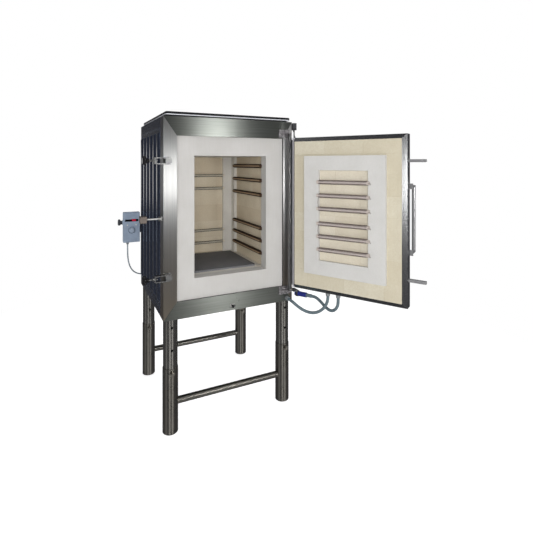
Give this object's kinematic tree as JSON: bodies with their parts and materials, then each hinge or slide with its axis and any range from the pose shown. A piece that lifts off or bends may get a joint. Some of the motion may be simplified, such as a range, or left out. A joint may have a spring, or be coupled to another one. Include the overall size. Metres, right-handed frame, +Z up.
{
  "type": "front-loading kiln",
  "caption": "Front-loading electric kiln on a telescopic stand, with a hinged brick-lined door, swing clamps, a hand controller and heated walls",
  "frame": {"origin": "on the floor, midway between the four feet and midway between the casing's front and rear faces", "axes": "+Z up, -Y towards the user in front of the door, +X to the hinge side of the door"},
  "size_m": [1.3927, 1.6028, 1.776],
  "materials": {
    "stainless": "brushed",
    "blue_panel": "satin",
    "dark_steel": "satin",
    "leg_steel": "brushed",
    "zinc_steel": "satin",
    "fibre_board": "matte",
    "fire_brick": "matte",
    "backing_board": "matte",
    "shelf_ceramic": "matte",
    "tube_ceramic": "matte",
    "heating_wire": "satin",
    "gland_plastic": "satin",
    "conduit_grey": "satin",
    "cable_grey": "satin",
    "blue_plastic": "gloss",
    "black_plastic": "satin",
    "grey_plastic": "satin",
    "face_plastic": "satin",
    "key_plastic": "satin",
    "grey_paint": "satin"
  },
  "bodies": {
    "kiln": {"front_frame": "stainless", "side_panel_left": "blue_panel", "side_panel_right": "blue_panel", "rear_panel": "blue_panel", "casing_sheets": "stainless", "cover_tray": "dark_steel", "cover_lid": "stainless", "front_panel": "fibre_board", "corner_columns": "fibre_board", "brick_walls": "fire_brick", "roof_and_floor": "fire_brick", "backing_boards": "backing_board", "shelf_plate": "shelf_ceramic", "chamber_tubes": "tube_ceramic", "chamber_coils": "heating_wire", "stand_tubes": "leg_steel", "hinge_brackets": "stainless", "pivot_pins": "zinc_steel", "clamp_blocks": "zinc_steel", "switch_body": "black_plastic", "controller_case": "grey_plastic", "controller_face": "face_plastic", "controller_holder": "stainless", "switchgear_housing": "grey_paint", "flue_pipe": "stainless", "thermocouple": "zinc_steel", "cord_glands": "gland_plastic", "conduit_plug": "blue_plastic", "plug_adaptor": "gland_plastic", "plug_bracket": "stainless", "conduit_low": "conduit_grey", "conduit_high": "conduit_grey", "controller_cable": "cable_grey"},
    "door": {"door_frame": "stainless", "door_back": "stainless", "door_brick_border": "fire_brick", "door_seal": "fibre_board", "door_core": "fire_brick", "door_element_tubes": "tube_ceramic", "door_element_coils": "heating_wire", "hinge_tube": "stainless", "door_handle": "stainless", "door_arms": "stainless", "door_glands": "gland_plastic"},
    "clamp_arm_upper": {"clamp_strap_upper": "zinc_steel"},
    "clamp_spindle_upper": {"clamp_screw_upper": "zinc_steel"},
    "clamp_grip_upper": {"clamp_knob_upper": "black_plastic"},
    "clamp_arm_lower": {"clamp_strap_lower": "zinc_steel"},
    "clamp_spindle_lower": {"clamp_screw_lower": "zinc_steel"},
    "clamp_grip_lower": {"clamp_knob_lower": "black_plastic"},
    "lock_arm": {"lock_arm": "zinc_steel"},
    "switch_lever": {"switch_lever": "zinc_steel"},
    "air_slide": {"air_slide": "stainless"},
    "dial": {"controller_dial": "black_plastic"},
    "key_left": {"key_left": "key_plastic"},
    "key_right": {"key_right": "key_plastic"},
    "main_switch": {"main_switch_knob": "black_plastic"},
    "stand_front": {"stand_frame_front": "leg_steel"},
    "stand_rear": {"stand_frame_rear": "leg_steel"}
  },
  "joints": [
    {"name": "door_hinge", "type": "hinge", "parent": "kiln", "child": "door", "pos_m": [0.366, -0.4185, 1.188], "axis": [0, 0, 1], "range_deg": [-120.6, 17.4], "deforming": ["conduit_low", "conduit_high"]},
    {"name": "clamp_swing_upper", "type": "hinge", "parent": "kiln", "child": "clamp_arm_upper", "pos_m": [-0.378, -0.4085, 1.504], "axis": [0, 0, 1], "range_deg": [0, 90]},
    {"name": "clamp_feed_upper", "type": "slide", "parent": "clamp_arm_upper", "child": "clamp_spindle_upper", "axis": [1, 0, 0], "range_m": [0, 0.0095]},
    {"name": "clamp_turn_upper", "type": "hinge", "parent": "clamp_spindle_upper", "child": "clamp_grip_upper", "pos_m": [-0.496, -0.4085, 1.504], "axis": [1, 0, 0], "range_deg": [0, 1800]},
    {"name": "clamp_swing_lower", "type": "hinge", "parent": "kiln", "child": "clamp_arm_lower", "pos_m": [-0.378, -0.4085, 0.872], "axis": [0, 0, 1], "range_deg": [0, 90]},
    {"name": "clamp_feed_lower", "type": "slide", "parent": "clamp_arm_lower", "child": "clamp_spindle_lower", "axis": [1, 0, 0], "range_m": [0, 0.0095]},
    {"name": "clamp_turn_lower", "type": "hinge", "parent": "clamp_spindle_lower", "child": "clamp_grip_lower", "pos_m": [-0.496, -0.4085, 0.872], "axis": [1, 0, 0], "range_deg": [0, 1800]},
    {"name": "lock_swing", "type": "hinge", "parent": "kiln", "child": "lock_arm", "pos_m": [-0.412, -0.3705, 1.188], "axis": [0, 0, 1], "range_deg": [0, 90]},
    {"name": "switch_press", "type": "hinge", "parent": "kiln", "child": "switch_lever", "pos_m": [0.415, -0.3915, 1.6937], "axis": [1, 0, 0], "range_deg": [0, 20], "stiffness_Nm_per_rad": 0.2},
    {"name": "air_pull", "type": "slide", "parent": "kiln", "child": "air_slide", "axis": [0, -1, 0], "range_m": [0, 0.04]},
    {"name": "dial_turn", "type": "hinge", "parent": "kiln", "child": "dial", "pos_m": [-0.473, 0.3115, 1.029], "axis": [0, 1, 0], "continuous": true},
    {"name": "key_left_press", "type": "slide", "parent": "kiln", "child": "key_left", "axis": [0, 1, 0], "range_m": [0, 0.0011], "stiffness_N_per_m": 400},
    {"name": "key_right_press", "type": "slide", "parent": "kiln", "child": "key_right", "axis": [0, 1, 0], "range_m": [0, 0.0011], "stiffness_N_per_m": 400},
    {"name": "main_switch_turn", "type": "hinge", "parent": "kiln", "child": "main_switch", "pos_m": [-0.54, 0.332, 1.082], "axis": [-1, 0, 0], "range_deg": [0, 90]},
    {"name": "stand_front_slide", "type": "slide", "parent": "kiln", "child": "stand_front", "axis": [0, 0, 1], "range_m": [0, 0.25]},
    {"name": "stand_rear_slide", "type": "slide", "parent": "kiln", "child": "stand_rear", "axis": [0, 0, 1], "range_m": [0, 0.25]}
  ],
  "couplings": [
    {"joint": "clamp_turn_upper", "follows": "clamp_feed_upper", "rad_per_m": 3141.6},
    {"joint": "clamp_turn_lower", "follows": "clamp_feed_lower", "rad_per_m": 3141.6}
  ]
}
